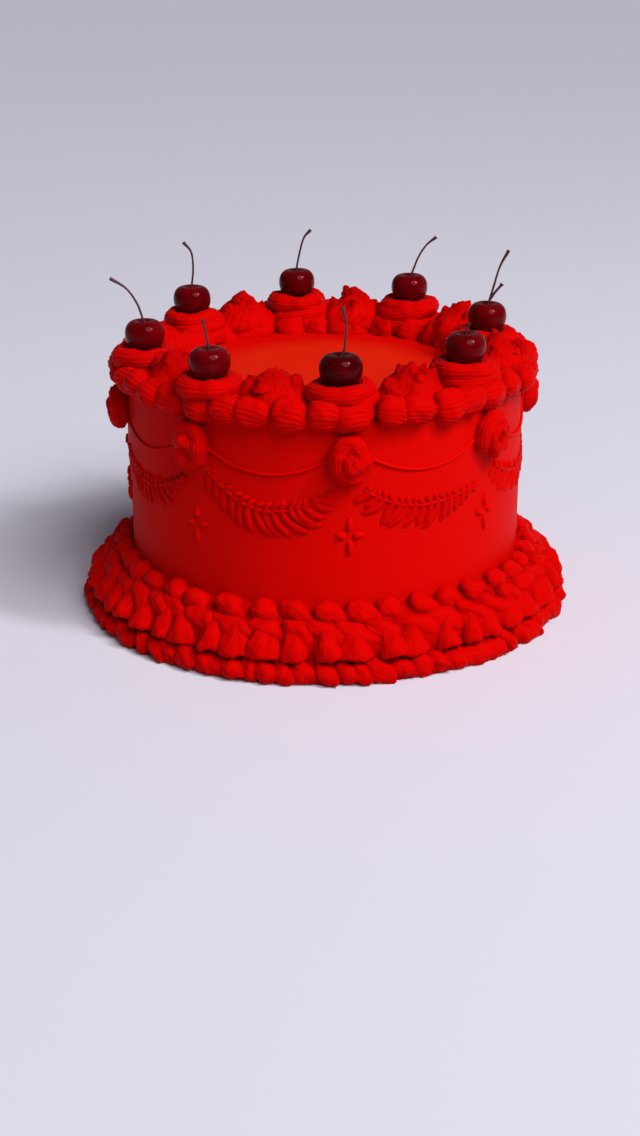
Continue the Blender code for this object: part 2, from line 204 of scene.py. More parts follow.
class WallSizes(bpy.types.PropertyGroup):
    """Sizes of the rosettes, strings, garlands and flowers on the wall."""

    rope: bpy.props.FloatProperty(
        name="Rosette rope", description="Radius of the rope that is coiled into a wall rosette",
        default=0.0046, **RADIUS)
    turns: bpy.props.FloatProperty(
        name="Turns", description="How often the rope goes round in a wall rosette",
        min=1.0, max=6.0, default=1.7)
    string: bpy.props.FloatProperty(
        name="String", description="Radius of the thin drop strings",
        default=0.0008, **RADIUS)
    string_end: bpy.props.FloatProperty(
        name="String ends", description="Height at which the drop strings meet the rosettes",
        default=0.1040, **HEIGHT)
    string_low: bpy.props.FloatProperty(
        name="String low point", description="Height of a drop string's lowest point",
        default=0.0950, **HEIGHT)
    garland_end: bpy.props.FloatProperty(
        name="Garland ends", description="Height at which the garlands meet below the rosettes",
        default=0.0874, **HEIGHT)
    garland_low: bpy.props.FloatProperty(
        name="Garland low point", description="Height of a garland's vein at its lowest",
        default=0.0772, **HEIGHT)
    lobe_pitch: bpy.props.FloatProperty(
        name="Lobe spacing", description="Distance from one lobe of a garland to the next",
        default=0.0049, **RADIUS)
    lobe: bpy.props.FloatProperty(
        name="Lobe thickness", description="Radius of a garland's pressed lobes",
        default=0.0016, **RADIUS)
    lobe_relief: bpy.props.FloatProperty(
        name="Lobe relief", description="How far a garland's lobes stand out from the wall",
        default=0.0015, **DEPTH)
    flower_height: bpy.props.FloatProperty(
        name="Flower height", description="Height of the small flowers' middles on the wall",
        default=0.0655, **HEIGHT)


class StageLook(bpy.types.PropertyGroup):
    """The pale floor and the soft lights."""

    floor: bpy.props.FloatVectorProperty(
        name="Floor", description="Colour of the pale floor",
        default=linear("d4d1de"), **COLOUR)
    sky: bpy.props.FloatVectorProperty(
        name="Fill light", description="Colour of the light from all round",
        default=linear("e6e4f0"), **COLOUR)
    fill_strength: bpy.props.FloatProperty(
        name="Fill strength", description="Strength of the light from all round",
        min=0.0, max=5.0, default=0.17)
    daylight: bpy.props.FloatProperty(
        name="Daylight", description="Strength of the daylight from the right, in watts per square metre",
        min=0.0, max=20.0, default=2.7)
    spread: bpy.props.FloatProperty(
        name="Daylight spread", description="How wide the daylight's source looks from the cake",
        subtype="ANGLE", min=0.0, max=1.5, default=math.radians(40.0))
    window_power: bpy.props.FloatProperty(
        name="Window", description="Power of the window that shows in the cherries' skin, in watts",
        subtype="POWER", min=0.0, max=500.0, default=18.0)


def add(tree, kind, inputs=(), **properties):
    """Adds a node with its properties; an input gets a value, a socket or a node's first output."""
    node = tree.nodes.new(kind)
    for name, value in properties.items():
        setattr(node, name, value)
    for key, value in dict(inputs).items():
        if isinstance(value, bpy.types.Node):
            value = value.outputs[0]
        if isinstance(value, bpy.types.NodeSocket):
            tree.links.new(value, node.inputs[key])
        else:
            node.inputs[key].default_value = value
    return node


def new_material(name, inputs, pattern):
    """A Principled material whose pattern adds nodes and returns the inputs that they feed."""
    material = bpy.data.materials.new(name)
    material.use_nodes = True
    tree = material.node_tree
    tree.nodes.clear()
    where = add(tree, "ShaderNodeTexCoord").outputs["Object"]
    shader = add(tree, "ShaderNodeBsdfPrincipled", {**inputs, **pattern(tree, where)})
    add(tree, "ShaderNodeOutputMaterial", {"Surface": shader})
    return material


def grain_of(millimetres):
    """The scale of a noise whose patches are about this wide."""
    return 1000.0 / millimetres


def shades(colour, dark, light):
    """A darker and a lighter shade of a colour, as the two colour inputs of a Mix node."""
    ends = [(*(min(1.0, part * share) for part in colour), 1.0) for share in (dark, light)]
    return {6: ends[0], 7: ends[1]}


# Buttercream full of red colouring reflects almost no green or blue, not even in its faint shine
RED_SHINE = {"IOR": 1.45, "Specular IOR Level": 0.03, "Specular Tint": (1.0, 0.06, 0.03, 1.0)}


def smooth_buttercream(colour):
    """Scraped buttercream: satin, with faint level streaks, and a painted sheen that makes the middle of
    the top lighter and more orange.
    """

    def pattern(tree, where):
        level = add(tree, "ShaderNodeMapping", {"Vector": where, "Scale": (1.0, 1.0, 6.0)})
        streaks = add(tree, "ShaderNodeTexNoise", {"Vector": level, "Scale": grain_of(16.7), "Detail": 3.0})
        # Sugar grain is finer than 0.1 mm and is drawn as coarse as it needs to show
        grain = add(tree, "ShaderNodeTexNoise", {"Vector": where, "Scale": grain_of(0.7), "Detail": 2.0})
        relief = add(tree, "ShaderNodeMath", {0: streaks, 1: 0.6, 2: grain}, operation="MULTIPLY_ADD")
        bump = add(tree, "ShaderNodeBump", {"Height": relief, "Strength": 0.2, "Distance": 0.0002})
        rough = add(tree, "ShaderNodeMapRange", {"Value": streaks, "To Min": 0.46, "To Max": 0.60})
        height = add(tree, "ShaderNodeSeparateXYZ", {0: where}).outputs["Z"]
        # Painted sheen: the middle of the top is drawn lighter and more orange, standing in for the light's
        # grazing reflection on the satin coat
        on_top = add(tree, "ShaderNodeMapRange", {
            "Value": height, "From Min": TOP_HEIGHT - 0.0020, "From Max": TOP_HEIGHT - 0.0005})
        # Measured from the middle of the foot, these reach 64 and 43 mm from the middle of the top
        away = add(tree, "ShaderNodeVectorMath", {0: where}, operation="LENGTH").outputs["Value"]
        centre = add(tree, "ShaderNodeMapRange", {"Value": away, "From Min": 0.1358, "From Max": 0.1275})
        sheen_mask = add(tree, "ShaderNodeMath", {0: on_top, 1: centre}, operation="MULTIPLY")
        plain = add(tree, "ShaderNodeMix", {0: streaks, **shades(colour, 0.95, 1.04)}, data_type="RGBA")
        sheen_colour = (colour[0] * 1.12, colour[1] + 0.0105, colour[2] + 0.0010)
        sheen_mix = add(tree, "ShaderNodeMix", {0: streaks, **shades(sheen_colour, 0.90, 1.08)}, data_type="RGBA")
        both = add(tree, "ShaderNodeMix", {
            0: sheen_mask, 6: plain.outputs[2], 7: sheen_mix.outputs[2]}, data_type="RGBA")
        return {"Base Color": both.outputs[2], "Roughness": rough, "Normal": bump}

    return new_material("smooth_buttercream", RED_SHINE, pattern)


def piped_buttercream(colour):
    """Buttercream pressed through a star nozzle: satin ridges, with painted shade in the grooves and where
    the beads thin out and meet.
    """

    def pattern(tree, where):
        ridge = add(tree, "ShaderNodeAttribute", attribute_name="ridge").outputs["Fac"]
        fullness = add(tree, "ShaderNodeAttribute", attribute_name="fullness").outputs["Fac"]
        patches = add(tree, "ShaderNodeTexNoise", {"Vector": where, "Scale": grain_of(11.0), "Detail": 2.0})
        # The broken surface of pressed buttercream, a little coarser than it is, so that it shows
        grain = add(tree, "ShaderNodeTexNoise", {"Vector": where, "Scale": grain_of(1.1), "Detail": 3.0})
        bump = add(tree, "ShaderNodeBump", {"Height": grain, "Strength": 0.3, "Distance": 0.0003})
        rough = add(tree, "ShaderNodeMapRange", {"Value": patches, "To Min": 0.42, "To Max": 0.58})
        # Painted shade: darker in the nozzle's grooves and towards each rope's thin ends, where beads meet
        # in creases
        groove_shade = add(tree, "ShaderNodeMapRange", {"Value": ridge, "From Max": 0.75, "To Min": 0.82})
        thin_end_shade = add(tree, "ShaderNodeMapRange", {
            "Value": fullness, "From Min": 0.35, "From Max": 0.85, "To Min": 0.56})
        relief = add(tree, "ShaderNodeMath", {0: groove_shade, 1: thin_end_shade}, operation="MULTIPLY")
        mix = add(tree, "ShaderNodeMix", {0: relief, **shades(colour, 0.56, 1.04)}, data_type="RGBA")
        return {"Base Color": mix.outputs[2], "Roughness": rough, "Normal": bump}

    return new_material("piped_buttercream", RED_SHINE, pattern)


def cherry_skin(colour):
    """Ripe cherry skin: deep red, waxy and glossy, darker on the ripest fruits and in patches of each."""

    def pattern(tree, where):
        ripeness = add(tree, "ShaderNodeAttribute", attribute_name="ripeness").outputs["Fac"]
        patches = add(tree, "ShaderNodeTexNoise", {"Vector": where, "Scale": grain_of(8.3), "Detail": 2.0})
        light = add(tree, "ShaderNodeMath", {0: patches, 1: ripeness}, operation="SUBTRACT", use_clamp=True)
        mix = add(tree, "ShaderNodeMix", {0: light, **shades(colour, 0.40, 1.90)}, data_type="RGBA")
        return {"Base Color": mix.outputs[2]}

    # Even the gleam is red: the waxy skin lets light in and colours it
    shine = {
        "IOR": 1.45, "Roughness": 0.10, "Specular IOR Level": 0.14, "Specular Tint": (1.0, 0.30, 0.34, 1.0)}
    return new_material("cherry_skin", shine, pattern)


def dry_stem(colour):
    """Dry cherry stem: dull and woody, streaked along its length."""

    def pattern(tree, where):
        streaks = add(tree, "ShaderNodeTexNoise", {"Vector": where, "Scale": grain_of(2.0), "Detail": 3.0})
        mix = add(tree, "ShaderNodeMix", {0: streaks, **shades(colour, 0.35, 1.2)}, data_type="RGBA")
        return {"Base Color": mix.outputs[2]}

    return new_material("dry_cherry_stem", {"IOR": 1.45, "Roughness": 0.6}, pattern)


# Each finish: what makes its material, and its slot
FINISHES = {
    "smooth": (smooth_buttercream, "smooth_buttercream"),
    "piped": (piped_buttercream, "piped_buttercream"),
    "cherry": (cherry_skin, "cherry_skin"),
    "stem": (dry_stem, "cherry_stem"),
}


def finish_of(name):
    """The material of a finish, made the first time that it is asked for."""
    label = "cake_finish_" + name
    if label not in bpy.context.scene:
        colour = tuple(getattr(bpy.context.scene.cake_finish, name))
        bpy.context.scene[label] = FINISHES[name][0](colour).name
    return bpy.data.materials[bpy.context.scene[label]]


def new_tree(name, sockets):
    """A Geometry Nodes tree with named inputs, and the outputs that hand them on."""
    tree = bpy.data.node_groups.new(name, "GeometryNodeTree")
    tree.interface.new_socket(name="Geometry", in_out="INPUT", socket_type="NodeSocketGeometry")
    for label, kind in sockets.items():
        tree.interface.new_socket(name=label, in_out="INPUT", socket_type="NodeSocket" + kind)
    tree.interface.new_socket(name="Geometry", in_out="OUTPUT", socket_type="NodeSocketGeometry")
    return tree, add(tree, "NodeGroupInput").outputs


SURFACE_SOCKETS = {
    "Unevenness": "Float", "Grain": "Float", "Lowest": "Float", "Seed": "Int", "Material": "Material"}


def end_with_surface(tree, geometry, given):
    """Lets the piped surface wander, presses it flat at its lowest height, and gives it its material."""
    real = add(tree, "GeometryNodeRealizeInstances", {"Geometry": geometry})
    place = add(tree, "GeometryNodeInputPosition")
    shift = add(tree, "ShaderNodeCombineXYZ", {"X": given["Seed"]})
    sample = add(tree, "ShaderNodeVectorMath", {0: place, 1: shift}, operation="ADD")
    lumps = add(tree, "ShaderNodeTexNoise", {"Vector": sample, "Scale": given["Grain"], "Detail": 3.0})
    swing = add(tree, "ShaderNodeMath", {0: lumps, 1: 2.0, 2: -1.0}, operation="MULTIPLY_ADD")
    amount = add(tree, "ShaderNodeMath", {0: swing, 1: given["Unevenness"]}, operation="MULTIPLY")
    normal = add(tree, "GeometryNodeInputNormal")
    offset = add(tree, "ShaderNodeVectorMath", {0: normal, "Scale": amount}, operation="SCALE")
    moved = add(tree, "GeometryNodeSetPosition", {"Geometry": real, "Offset": offset})
    limit = add(tree, "ShaderNodeCombineXYZ", {"X": -1.0, "Y": -1.0, "Z": given["Lowest"]})
    pressed = add(tree, "ShaderNodeVectorMath", {0: place, 1: limit}, operation="MAXIMUM")
    flat = add(tree, "GeometryNodeSetPosition", {"Geometry": moved, "Position": pressed})
    soft = add(tree, "GeometryNodeSetShadeSmooth", {"Geometry": flat})
    again = add(tree, "GeometryNodeRealizeInstances", {"Geometry": soft})
    finish = add(tree, "GeometryNodeSetMaterial", {"Geometry": again, "Material": given["Material"]})
    add(tree, "NodeGroupOutput", {0: finish})
    return tree


def rope_tree():
    """Sweeps a star nozzle's opening along each route, as wide and as turned as the route says."""
    tree, given = new_tree("Piped rope", {
        "Teeth": "Int", "Groove": "Float", "Sides": "Int", **SURFACE_SOCKETS})
    width = add(tree, "GeometryNodeInputNamedAttribute", {"Name": "width"}).outputs["Attribute"]
    turn = add(tree, "GeometryNodeInputNamedAttribute", {"Name": "turn"}).outputs["Attribute"]
    curve = add(tree, "GeometryNodeMeshToCurve", {"Mesh": given["Geometry"]})
    turned = add(tree, "GeometryNodeSetCurveTilt", {"Curve": curve, "Tilt": turn})
    circle = add(tree, "GeometryNodeCurvePrimitiveCircle", {"Resolution": given["Sides"], "Radius": 1.0})
    place = add(tree, "GeometryNodeInputPosition")
    parts = add(tree, "ShaderNodeSeparateXYZ", {0: place}).outputs
    angle = add(tree, "ShaderNodeMath", {0: parts["Y"], 1: parts["X"]}, operation="ARCTAN2")
    half = add(tree, "ShaderNodeMath", {0: given["Teeth"], 1: 0.5}, operation="MULTIPLY")
    phase = add(tree, "ShaderNodeMath", {0: angle, 1: half}, operation="MULTIPLY")
    wave = add(tree, "ShaderNodeMath", {0: phase}, operation="SINE")
    ridge = add(tree, "ShaderNodeMath", {0: wave}, operation="ABSOLUTE")
    floor = add(tree, "ShaderNodeMath", {0: 1.0, 1: given["Groove"]}, operation="SUBTRACT")
    reach = add(tree, "ShaderNodeMath", {0: ridge, 1: given["Groove"], 2: floor}, operation="MULTIPLY_ADD")
    star = add(tree, "ShaderNodeVectorMath", {0: place, "Scale": reach}, operation="SCALE")
    # The ridge mark, which the piped finish turns into painted shade in the grooves
    marked = add(tree, "GeometryNodeStoreNamedAttribute", {
        "Geometry": circle, "Name": "ridge", "Value": ridge}, data_type="FLOAT", domain="POINT")
    opening = add(tree, "GeometryNodeSetPosition", {"Geometry": marked, "Position": star})
    swept = add(tree, "GeometryNodeCurveToMesh", {
        "Curve": turned, "Profile Curve": opening, "Scale": width, "Fill Caps": True})
    return end_with_surface(tree, swept, given)


def ring_tree():
    """Sets a bead again and again round the cake, each one turned and sized a little differently."""
    tree, given = new_tree("Piped ring", {
        "Bead": "Object", "Count": "Int", "Radius": "Float", "Height": "Float", "Length change": "Float",
        "Size change": "Float", "Turn change": "Float", "Spacing change": "Float", "Wander": "Float",
        **SURFACE_SOCKETS})
    index = add(tree, "GeometryNodeInputIndex")

    def drawn(limit, number):
        """A number between minus and plus a limit, drawn for each bead on its own."""
        seed = add(tree, "ShaderNodeMath", {0: given["Seed"], 1: float(number)}, operation="ADD")
        low = add(tree, "ShaderNodeMath", {0: limit, 1: -1.0}, operation="MULTIPLY")
        chance = add(tree, "FunctionNodeRandomValue", {
            2: low, 3: limit, "ID": index, "Seed": seed}, data_type="FLOAT")
        return chance.outputs[1]

    spot = add(tree, "ShaderNodeMath", {0: index, 1: drawn(given["Spacing change"], 1)}, operation="ADD")
    share = add(tree, "ShaderNodeMath", {0: spot, 1: given["Count"]}, operation="DIVIDE")
    azimuth = add(tree, "ShaderNodeMath", {0: share, 1: FULL_TURN}, operation="MULTIPLY")
    sine = add(tree, "ShaderNodeMath", {0: azimuth}, operation="SINE")
    cosine = add(tree, "ShaderNodeMath", {0: azimuth}, operation="COSINE")
    reach = add(tree, "ShaderNodeMath", {0: given["Radius"], 1: drawn(given["Wander"], 8)}, operation="ADD")
    rise = add(tree, "ShaderNodeMath", {0: given["Height"], 1: drawn(given["Wander"], 9)}, operation="ADD")
    right = add(tree, "ShaderNodeMath", {0: sine, 1: reach}, operation="MULTIPLY")
    back = add(tree, "ShaderNodeMath", {0: cosine, 1: reach}, operation="MULTIPLY")
    front = add(tree, "ShaderNodeMath", {0: back, 1: -1.0}, operation="MULTIPLY")
    place = add(tree, "ShaderNodeCombineXYZ", {"X": right, "Y": front, "Z": rise})
    points = add(tree, "GeometryNodePoints", {"Count": given["Count"], "Position": place})
    bead = add(tree, "GeometryNodeObjectInfo", {"Object": given["Bead"]})
    limits = (given["Length change"], given["Size change"], given["Size change"])
    sizes = [add(tree, "ShaderNodeMath", {0: drawn(limit, 2 + axis), 1: 1.0}, operation="ADD")
             for axis, limit in enumerate(limits)]
    scale = add(tree, "ShaderNodeCombineXYZ", dict(enumerate(sizes)))
    facing = add(tree, "ShaderNodeMath", {0: azimuth, 1: drawn(given["Turn change"], 7)}, operation="ADD")
    turn = add(tree, "ShaderNodeCombineXYZ", {
        "X": drawn(given["Turn change"], 5), "Y": drawn(given["Turn change"], 6), "Z": facing})
    beads = add(tree, "GeometryNodeInstanceOnPoints", {
        "Points": points, "Instance": bead.outputs["Geometry"], "Rotation": turn, "Scale": scale})
    return end_with_surface(tree, beads, given)


TREES = {"Piped rope": rope_tree, "Piped ring": ring_tree}


def run_tree(thing, tree_name, values):
    """Runs a tree on an object and keeps what it makes as the object's plain mesh."""
    tree = bpy.data.node_groups.get(tree_name) or TREES[tree_name]()
    modifier = thing.modifiers.new(tree_name, "NODES")
    modifier.node_group = tree
    for item in tree.interface.items_tree:
        if item.in_out == "INPUT" and item.name in values:
            modifier[item.identifier] = values[item.name]
    made = bpy.data.meshes.new_from_object(thing.evaluated_get(bpy.context.evaluated_depsgraph_get()))
    thing.modifiers.remove(modifier)
    thing.data = made
    made.name = thing.name
    return thing


def new_object(name, data):
    """Links a new object for a mesh, a lamp or a camera to the scene."""
    thing = bpy.data.objects.new(name, data)
    bpy.context.scene.collection.objects.link(thing)
    return thing


def pipe(name, routes, finish, even=False, **nozzle):
    """Pipes a rope along each route of (point, width, turn), all as one object.

    An even rope gets no painted shade where it gets thin.
    """
    stops = [stop for route in routes for stop in route]
    edges = []
    first = 0
    for route in routes:
        edges += [(first + step, first + step + 1) for step in range(len(route) - 1)]
        first += len(route)
    mesh = bpy.data.meshes.new(name)
    mesh.from_pydata([stop[0] for stop in stops], edges, [])
    widest = [max(stop[1] for stop in route) for route in routes]
    fullness = [1.0 if even else stop[1] / wide for route, wide in zip(routes, widest) for stop in route]
    widths = [stop[1] for stop in stops]
    columns = {"width": widths, "turn": [stop[2] for stop in stops], "fullness": fullness}
    for label, values in columns.items():
        mesh.attributes.new(label, "FLOAT", "POINT").data.foreach_set("value", values)
    values = {"Unevenness": 0.0, "Grain": 220.0, "Lowest": 0.0, "Seed": 1, "Material": finish_of(finish),
              **nozzle}
    return run_tree(new_object(name, mesh), "Piped rope", values)


# What the numbers of a ring stand for, in the order that ring_of takes them
RING_NUMBERS = (
    "Count", "Radius", "Height", "Length change", "Size change", "Turn change", "Spacing change", "Wander")


def ring_of(name, keys, steps, nozzle, numbers, surface):
    """Pipes one bead of buttercream through its keys, in millimetres, and sets it round the cake."""
    keys = [(*(size / 1000.0 for size in sizes), turn) for *sizes, turn in keys]
    bead = pipe(name + "_bead", [smooth_route(keys, steps)], "piped", Lowest=-1.0, **nozzle)
    thing = new_object(name, bpy.data.meshes.new(name))
    values = {"Bead": bead, "Grain": 110.0, "Lowest": 0.0, "Material": finish_of("piped"),
              **dict(zip(RING_NUMBERS, numbers)), **surface}
    run_tree(thing, "Piped ring", values)
    bpy.data.objects.remove(bead)
    return thing


def shares(steps):
    """Even shares of a way in so many steps, from 0 to 1."""
    return [step / steps for step in range(steps + 1)]


def smooth_route(keys, steps):
    """A smooth run of (point, width, turn) through keys of across, back, up, width and turn."""
    table = np.array(keys, float)
    padded = np.vstack([2.0 * table[0] - table[1], table, 2.0 * table[-1] - table[-2]])
    route = []
    for done in shares(steps):
        at = done * (len(table) - 1)
        start = min(int(at), len(table) - 2)
        share = at - start
        a, b, c, d = padded[start:start + 4]
        value = 0.5 * (2.0 * b + (c - a) * share + (2.0 * a - 5.0 * b + 4.0 * c - d) * share ** 2
                       + (3.0 * b - a - 3.0 * c + d) * share ** 3)
        route.append((Vector(value[:3]), max(float(value[3]), THIN), float(value[4])))
    return route


def ramp(share, *stops):
    """A value eased between stops of (share, value)."""
    for (start, low), (end, high) in zip(stops, stops[1:]):
        if share <= end:
            part = max(0.0, (share - start) / (end - start))
            part = part * part * (3.0 - 2.0 * part)
            return low + (high - low) * part
    return stops[-1][1]


def settle(piece, finish, *nodes):
    """Fixes a finished piece to the cake and hides the nodes that it stands for."""
    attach(piece, BODY)
    if nodes:
        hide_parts(*nodes)


def lathe(name, profile, sides, finish):
    """Turns a profile of (radius, height) points, from axis to axis, into a closed round object."""
    points = []
    for radius, height in profile[1:-1]:
        for side in range(sides):
            points.append(round_the_axis(FULL_TURN * side / sides, radius, height))
    rows = len(profile) - 2
    faces = []
    for row in range(rows - 1):
        for side in range(sides):
            after = (side + 1) % sides
            low = row * sides
            faces.append((low + side, low + after, low + sides + after, low + sides + side))
    points += [raised(profile[0][1]), raised(profile[-1][1])]
    last = (rows - 1) * sides
    for side in range(sides):
        after = (side + 1) % sides
        faces.append((after, side, len(points) - 2))
        faces.append((last + side, last + after, len(points) - 1))
    mesh = bpy.data.meshes.new(name)
    mesh.from_pydata(points, [], faces)
    mesh.materials.append(finish_of(finish))
    mesh.shade_smooth()
    return new_object(name, mesh)


class CAKE_OT_smooth_coat(bpy.types.Operator):
    """Make the smooth cake with its softly rounded edges"""

    bl_idname = "cake.smooth_coat"
    bl_label = "Smooth coat"

    def execute(self, context):
        edge = 0.0025
        profile = [(0.0, 0.0)]
        profile += [(WALL_RADIUS * share, 0.0) for share in (0.3, 0.6, 0.9, 1.0)]
        profile += [(WALL_RADIUS, TOP_HEIGHT * step / 40.0) for step in range(1, 39)]
        for share in shares(6):
            angle = math.pi / 2.0 * share
            profile.append((
                WALL_RADIUS - edge + edge * math.cos(angle), TOP_HEIGHT - edge + edge * math.sin(angle)))
        profile += [(WALL_RADIUS * tenths / 10.0, TOP_HEIGHT) for tenths in range(9, 0, -1)]
        profile.append((0.0, TOP_HEIGHT))
        cake = lathe("smooth_cake", profile, 240, "smooth")
        coordinates = np.empty(len(cake.data.vertices) * 3)
        cake.data.vertices.foreach_get("co", coordinates)
        points = coordinates.reshape(-1, 3)
        azimuth = np.arctan2(points[:, 0], -points[:, 1])
        # The scraper leaves the wall up to 0.36 mm out of round
        wave = 0.00022 * np.sin(3.0 * azimuth + 60.0 * points[:, 2])
        wave += 0.00014 * np.sin(7.0 * azimuth - 95.0 * points[:, 2])
        points[:, :2] *= (1.0 + wave / WALL_RADIUS)[:, None]
        cake.data.vertices.foreach_set("co", points.ravel())
        settle(cake, "smooth", "cake")
        return {"FINISHED"}


# Each bead's keys: across, back, up and radius in millimetres, and turn in radians
TOP_SHELL = (
    (-8.4, 0.8, 0.4, 0.3, 0.0), (-7.9, 0.6, 0.4, 4.4, 0.0), (-6.0, 0.2, 0.4, 6.8, 0.0),
    (-2.2, 0.0, 0.4, 7.7, 0.0), (2.0, 0.0, 0.0, 7.2, 0.0), (5.5, 0.4, -0.8, 5.5, 0.1),
    (8.2, 0.8, -1.8, 3.4, 0.1), (9.8, 1.0, -2.6, 1.4, 0.2), (10.4, 1.0, -3.0, 0.3, 0.2))
FOOT_SHELL = (
    (-6.0, 0.6, 1.0, 0.3, 0.0), (-5.6, 0.4, 1.0, 3.4, 0.0), (-3.8, 0.2, 0.8, 5.0, 0.0),
    (0.0, 0.0, 0.2, 5.7, 0.1), (3.4, -0.4, -1.2, 4.9, 0.2), (6.2, -0.8, -2.6, 3.6, 0.3),
    (8.8, -1.0, -3.6, 2.4, 0.4), (10.6, -1.0, -4.2, 0.3, 0.4))
FOOT_TAIL = (
    (-10.0, 2.0, 3.0, 0.3, 0.0), (-9.0, 1.8, 2.8, 3.0, 0.0), (-5.2, 1.0, 1.8, 4.8, 0.1),
    (0.4, -0.2, 0.0, 5.4, 0.2), (5.4, -1.4, -1.8, 5.0, 0.3), (9.0, -2.2, -3.0, 3.2, 0.4),
    (10.2, -2.6, -3.6, 0.3, 0.4))
FOOT_RUFFLE = (
    (-1.2, 4.4, 6.2, 0.3, 0.0), (-1.0, 4.0, 5.7, 3.6, 0.0), (-0.6, 2.6, 3.8, 5.2, 0.2),
    (0.0, 0.3, 0.4, 6.7, 0.5), (0.5, -1.2, -2.8, 7.6, 0.8), (0.8, -1.8, -4.7, 7.6, 1.0),
    (0.9, -2.0, -5.5, 5.8, 1.1), (0.9, -2.1, -5.8, 0.3, 1.1))
FOOT_POINT = (
    (-5.4, 3.4, 1.2, 0.3, 0.0), (-4.9, 3.0, 1.2, 3.6, 0.0), (-2.6, 1.4, 0.6, 5.0, 0.1),
    (0.4, -0.4, -0.2, 5.2, 0.2), (2.8, -2.0, -1.0, 4.3, 0.3), (4.7, -3.6, -2.0, 2.6, 0.4),
    (5.7, -5.3, -2.7, 0.3, 0.4))
BED_BEAD = (
    (-7.6, 0.0, 0.0, 0.3, 0.0), (-7.0, 0.0, 0.0, 5.0, 0.0), (-4.0, 0.2, 0.4, 8.2, 0.1),
    (0.8, 0.0, 0.4, 8.8, 0.2), (5.2, 0.0, 0.0, 7.0, 0.3), (7.8, 0.2, -0.4, 4.0, 0.4),
    (8.6, 0.2, -0.6, 0.3, 0.4))


class CAKE_OT_top_border(bpy.types.Operator):
    """Pipe the border of ridged shells over the top edge"""

    bl_idname = "cake.top_border"
    bl_label = "Top border"

    def execute(self, context):
        sizes = context.scene.cake_borders
        border = ring_of(
            "top_border_shells", TOP_SHELL, 26, {"Teeth": 20, "Groove": sizes.groove, "Sides": 80},
            (sizes.top_shells, 0.1006, 0.1241, 0.10, 0.09, 0.16, 0.16, 0.0006),
            {"Unevenness": sizes.top_unevenness, "Seed": 3})
        settle(border, "piped", "top_border")
        return {"FINISHED"}


# Radius and height in millimetres of the buttercream behind the foot border, from its underside up
FILLING = (
    (0.0, 0.2), (98.0, 0.2), (122.0, 0.2), (122.4, 2.6), (121.6, 5.6), (116.4, 8.8), (116.6, 11.2),
    (117.0, 13.6), (116.8, 16.2), (115.8, 18.8), (114.2, 21.2), (111.6, 23.2), (109.0, 25.0), (106.0, 27.0),
    (103.0, 28.8), (100.4, 30.0), (98.0, 30.4), (0.0, 30.4))


class CAKE_OT_foot_border(bpy.types.Operator):
    """Pipe the four rows of the wide border round the foot"""

    bl_idname = "cake.foot_border"
    bl_label = "Foot border"

    def execute(self, context):
        sizes = context.scene.cake_borders
        rows = (
            ("shells", FOOT_SHELL, 22, 18, (0.1036, 0.0280, 0.12, 0.08, 0.12, 0.14, 0.0005)),
            ("tails", FOOT_TAIL, 18, 17, (0.1104, 0.0211, 0.18, 0.10, 0.14, 0.18, 0.0006)),
            ("ruffles", FOOT_RUFFLE, 20, 20, (0.1150, 0.0160, 0.26, 0.08, 0.14, 0.20, 0.0005)),
            ("points", FOOT_POINT, 16, 14, (0.1202, 0.0047, 0.26, 0.10, 0.14, 0.24, 0.0004)),
        )
        for number, (row, keys, steps, teeth, numbers) in enumerate(rows):
            border = ring_of(
                "foot_border_" + row, keys, steps,
                {"Teeth": teeth, "Groove": 0.6 * sizes.groove, "Sides": 3 * teeth},
                (getattr(sizes, "foot_" + row), *numbers),
                {"Unevenness": sizes.foot_unevenness, "Grain": 130.0, "Seed": 20 + 10 * number})
            settle(border, "piped", "base_border_" + row)
        self.fill_behind()
        return {"FINISHED"}

    def fill_behind(self):
        """The buttercream that the rows were piped against, seen only deep between their beads; lacking the
        ridge and fullness marks, it takes the piped finish's darkest painted shade.
        """
        profile = [(radius / 1000.0, height / 1000.0) for radius, height in FILLING]
        filling = lathe("foot_border_filling", profile, 300, "piped")
        # Lumps about 5 mm wide, on the side that shows
        for vertex in filling.data.vertices:
            if vertex.co.z > 0.001 and vertex.co.xy.length > WALL_RADIUS:
                swell = 1.0 + 0.012 * noise.noise(vertex.co * 190.0)
                vertex.co.x *= swell
                vertex.co.y *= swell
        settle(filling, "piped")


class CAKE_OT_top_bed(bpy.types.Operator):
    """Pipe the low lumpy bed that joins the rosettes and swirls on top"""

    bl_idname = "cake.top_bed"
    bl_label = "Top bed"

    def execute(self, context):
        bed = ring_of(
            "top_bed", BED_BEAD, 16, {"Teeth": 16, "Groove": 0.04, "Sides": 48},
            (35, 0.0798, TOP_HEIGHT + 0.0006, 0.16, 0.16, 0.35, 0.26, 0.0010),
            {"Unevenness": 0.0042, "Grain": 90.0, "Seed": 12, "Lowest": TOP_HEIGHT - 0.0010})
        settle(bed, "piped")
        return {"FINISHED"}


# The rope of a rosette, in stops along it: its distance from the rosette's middle, the share of its full
# radius, and how far that middle shifts towards the cake's axis, as a share of the cherry's distance
ROSETTE_REACH = (
    (0.0, 0.0112), (0.30, 0.0110), (0.50, 0.0122), (0.62, 0.0116), (0.88, 0.0104), (1.0, 0.0070))
ROSETTE_WIDTH = ((0.0, 0.3), (0.05, 1.0), (0.9, 0.96), (1.0, 0.4))
ROSETTE_INWARD = ((0.0, 0.030), (0.30, 0.026), (0.55, 0.004), (1.0, 0.0))


